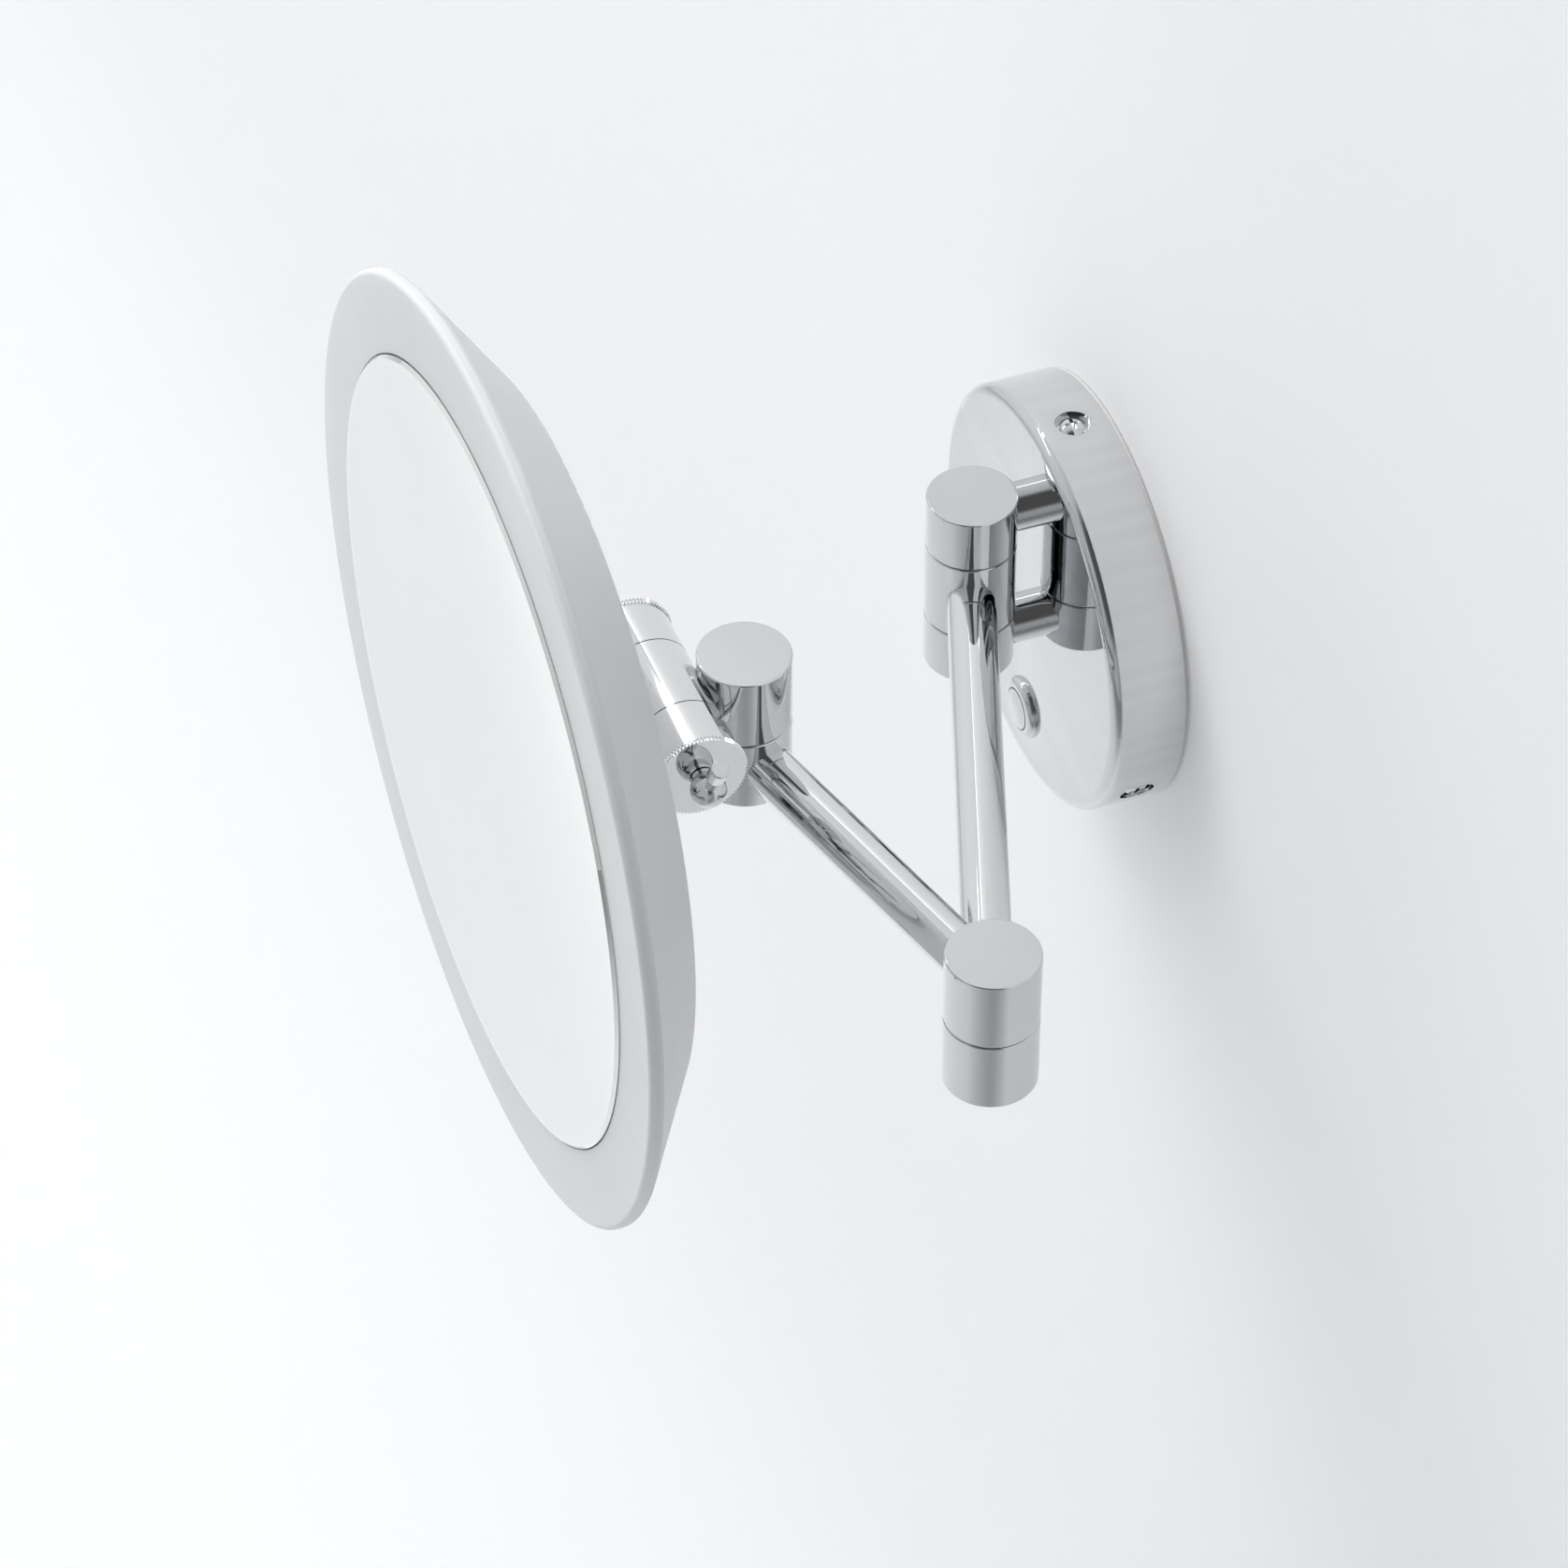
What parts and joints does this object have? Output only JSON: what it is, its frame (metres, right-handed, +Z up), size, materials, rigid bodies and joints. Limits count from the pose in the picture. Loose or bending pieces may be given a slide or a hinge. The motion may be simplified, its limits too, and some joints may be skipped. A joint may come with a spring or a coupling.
{
  "type": "shaving mirror",
  "caption": "Extendable shaving mirror: a round mirror with a lit satin rim on a folding chrome swing arm, with a round wall mount and a push button.",
  "frame": {"origin": "centre of the mounting plate's back face, on the wall", "axes": "+Y into the wall, -Y the way the mirror faces, +Z up, +X to the right as seen by the user"},
  "size_m": [0.243, 0.1937, 0.243],
  "materials": {
    "chrome": "polished",
    "mirror": "polished",
    "satin_acrylic": "satin",
    "zinc_steel": "zinc plated",
    "pin_steel": "ground",
    "bronze": "machined",
    "seam_plastic": "matt",
    "grey_rubber": "matt",
    "white_silicone": "matt",
    "white_case": "satin",
    "dark_case": "matt",
    "white_paint": "satin",
    "drum_aluminium": "mill",
    "led_lens": "gloss"
  },
  "bodies": {
    "wall_mount": {"mounting_plate": "zinc_steel", "cable_grommet": "grey_rubber", "wall_seal": "white_silicone", "led_driver": "white_case", "wall_cover": "chrome", "rim_screws": "chrome", "cover_stiffener": "zinc_steel", "bracket_rods": "chrome", "bracket_screws": "zinc_steel", "wall_knuckle_top": "chrome", "wall_knuckle_bottom": "chrome", "wall_hinge_pin": "pin_steel", "wall_barrel_plug": "chrome", "wall_seam_washers": "seam_plastic", "button_bezel": "chrome", "bezel_nut": "zinc_steel", "button_switch": "dark_case"},
    "push_button": {"button_cap": "chrome"},
    "inner_arm": {"wall_knuckle_middle": "chrome", "wall_bush": "bronze", "inner_arm_tube": "chrome", "elbow_knuckle_lower": "chrome", "elbow_bush": "bronze", "elbow_disc_springs": "zinc_steel", "elbow_seam_washer": "seam_plastic", "elbow_plug": "chrome"},
    "outer_arm": {"elbow_knuckle_upper": "chrome", "elbow_pin": "pin_steel", "outer_arm_tube": "chrome", "wrist_knuckle_lower": "chrome", "wrist_bush": "bronze", "wrist_disc_springs": "zinc_steel", "wrist_seam_washer": "seam_plastic", "wrist_plug": "chrome"},
    "head_yoke": {"wrist_knuckle_upper": "chrome", "wrist_pin": "pin_steel", "yoke_stud": "pin_steel", "tilt_barrel_middle": "chrome", "tilt_bush": "bronze", "tilt_washers": "seam_plastic"},
    "mirror_head": {"tilt_barrel_right": "chrome", "tilt_barrel_left": "chrome", "tilt_shaft": "pin_steel", "tilt_end_discs": "chrome", "head_rods": "chrome", "head_rod_screws": "zinc_steel", "head_cup": "chrome", "head_stiffener": "zinc_steel", "back_plate": "white_paint", "stiffener_screws": "zinc_steel", "back_screws": "zinc_steel", "carrier_drum": "drum_aluminium", "led_strip": "white_case", "led_chips": "led_lens", "glass_pad": "grey_rubber", "mirror_glass": "mirror", "diffuser_shell": "satin_acrylic"},
    "tilt_knob": {"knob_ball": "chrome", "knob_lever": "chrome"}
  },
  "joints": [
    {"name": "wall_swivel", "type": "hinge", "parent": "wall_mount", "child": "inner_arm", "pos_m": [0, -0.0376, 0.0142], "axis": [0, 0, 1], "range_deg": [-165, 25]},
    {"name": "elbow_swivel", "type": "hinge", "parent": "inner_arm", "child": "outer_arm", "pos_m": [0.15934, -0.09686, 0.0142], "axis": [0, 0, -1], "range_deg": [-140, 35]},
    {"name": "wrist_swivel", "type": "hinge", "parent": "outer_arm", "child": "head_yoke", "pos_m": [0.05976, -0.12317, 0.035], "axis": [0, 0, 1], "range_deg": [-45, 30]},
    {"name": "head_tilt", "type": "hinge", "parent": "head_yoke", "child": "mirror_head", "pos_m": [0.05976, -0.14467, 0.0558], "axis": [-1, 0, 0], "range_deg": [-35, 35]},
    {"name": "knob_turn", "type": "hinge", "parent": "mirror_head", "child": "tilt_knob", "pos_m": [0.09196, -0.14467, 0.0558], "axis": [1, 0, 0], "range_deg": [-75, 75]},
    {"name": "button_press", "type": "slide", "parent": "wall_mount", "child": "push_button", "axis": [0, 1, 0], "range_m": [0, 0.0015], "stiffness_N_per_m": 900, "springref_m": -0.0008}
  ]
}
